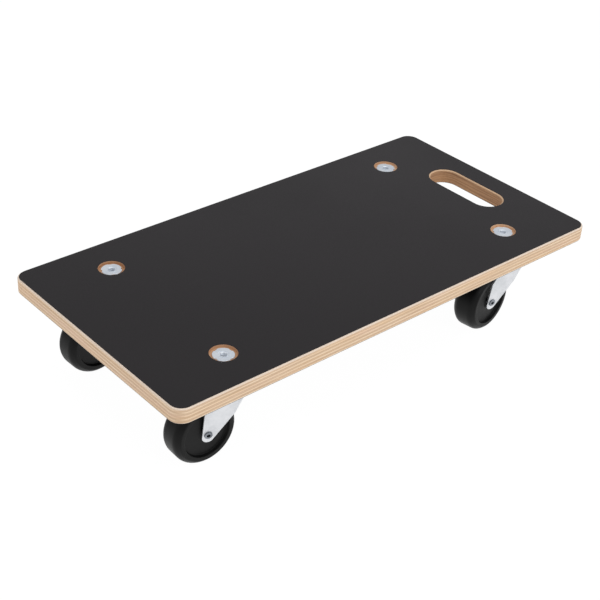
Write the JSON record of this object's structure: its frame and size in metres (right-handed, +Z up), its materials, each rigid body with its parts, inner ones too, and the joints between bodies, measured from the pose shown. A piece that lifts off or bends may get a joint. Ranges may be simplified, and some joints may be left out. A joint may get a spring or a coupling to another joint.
{
  "type": "furniture dolly",
  "caption": "Rectangular plywood deck with film-faced surfaces and a hand slot at one end, carried on bolted swivel castors with plastic wheels.",
  "frame": {"origin": "on the ground under the middle of the deck", "axes": "+X along the deck towards the end with the hand slot, +Y to the left, +Z up"},
  "size_m": [0.6, 0.3, 0.118],
  "materials": {
    "plywood": "sanded plywood edge, clear lacquer",
    "film": "matt phenolic film",
    "zinc": "bright zinc plated",
    "zinc_bolt": "zinc plated, slightly dull",
    "zinc_pressed": "zinc plated pressed steel",
    "ball_steel": "polished hardened steel",
    "axle_steel": "oiled plain steel",
    "wheel_plastic": "satin moulded plastic"
  },
  "bodies": {
    "deck": {"deck_board": "plywood", "deck_top_film": "film", "deck_bottom_film": "film", "tee_nuts": "zinc", "castor_bolts": "zinc_bolt", "spring_washers": "zinc_bolt", "rear_right_top_race": "zinc_pressed", "rear_right_king_bush": "zinc_bolt", "rear_right_retainer": "zinc_pressed", "front_right_top_race": "zinc_pressed", "front_right_king_bush": "zinc_bolt", "front_right_retainer": "zinc_pressed", "rear_left_top_race": "zinc_pressed", "rear_left_king_bush": "zinc_bolt", "rear_left_retainer": "zinc_pressed", "front_left_top_race": "zinc_pressed", "front_left_king_bush": "zinc_bolt", "front_left_retainer": "zinc_pressed"},
    "rear_right_swivel": {"rear_right_fork": "zinc_pressed", "rear_right_upper_balls": "ball_steel", "rear_right_lower_balls": "ball_steel", "rear_right_axle": "axle_steel", "rear_right_axle_sleeve": "axle_steel"},
    "rear_right_wheel_body": {"rear_right_wheel": "wheel_plastic"},
    "front_right_swivel": {"front_right_fork": "zinc_pressed", "front_right_upper_balls": "ball_steel", "front_right_lower_balls": "ball_steel", "front_right_axle": "axle_steel", "front_right_axle_sleeve": "axle_steel"},
    "front_right_wheel_body": {"front_right_wheel": "wheel_plastic"},
    "rear_left_swivel": {"rear_left_fork": "zinc_pressed", "rear_left_upper_balls": "ball_steel", "rear_left_lower_balls": "ball_steel", "rear_left_axle": "axle_steel", "rear_left_axle_sleeve": "axle_steel"},
    "rear_left_wheel_body": {"rear_left_wheel": "wheel_plastic"},
    "front_left_swivel": {"front_left_fork": "zinc_pressed", "front_left_upper_balls": "ball_steel", "front_left_lower_balls": "ball_steel", "front_left_axle": "axle_steel", "front_left_axle_sleeve": "axle_steel"},
    "front_left_wheel_body": {"front_left_wheel": "wheel_plastic"}
  },
  "joints": [
    {"name": "rear_right_swivel_turn", "type": "hinge", "parent": "deck", "child": "rear_right_swivel", "pos_m": [-0.207, -0.099, 0.098], "axis": [0, 0, 1], "continuous": true},
    {"name": "rear_right_wheel_roll", "type": "hinge", "parent": "rear_right_swivel", "child": "rear_right_wheel_body", "pos_m": [-0.23548, -0.09786, 0.0375], "axis": [0.0401, 0.9992, 0], "continuous": true},
    {"name": "front_right_swivel_turn", "type": "hinge", "parent": "deck", "child": "front_right_swivel", "pos_m": [0.207, -0.099, 0.098], "axis": [0, 0, 1], "continuous": true},
    {"name": "front_right_wheel_roll", "type": "hinge", "parent": "front_right_swivel", "child": "front_right_wheel_body", "pos_m": [0.17876, -0.10287, 0.0375], "axis": [-0.1357, 0.9907, 0], "continuous": true},
    {"name": "rear_left_swivel_turn", "type": "hinge", "parent": "deck", "child": "rear_left_swivel", "pos_m": [-0.207, 0.099, 0.098], "axis": [0, 0, 1], "continuous": true},
    {"name": "rear_left_wheel_roll", "type": "hinge", "parent": "rear_left_swivel", "child": "rear_left_wheel_body", "pos_m": [-0.23548, 0.09791, 0.0375], "axis": [-0.0384, 0.9993, 0], "continuous": true},
    {"name": "front_left_swivel_turn", "type": "hinge", "parent": "deck", "child": "front_left_swivel", "pos_m": [0.207, 0.099, 0.098], "axis": [0, 0, 1], "continuous": true},
    {"name": "front_left_wheel_roll", "type": "hinge", "parent": "front_left_swivel", "child": "front_left_wheel_body", "pos_m": [0.17854, 0.09751, 0.0375], "axis": [-0.0523, 0.9986, 0], "continuous": true}
  ]
}
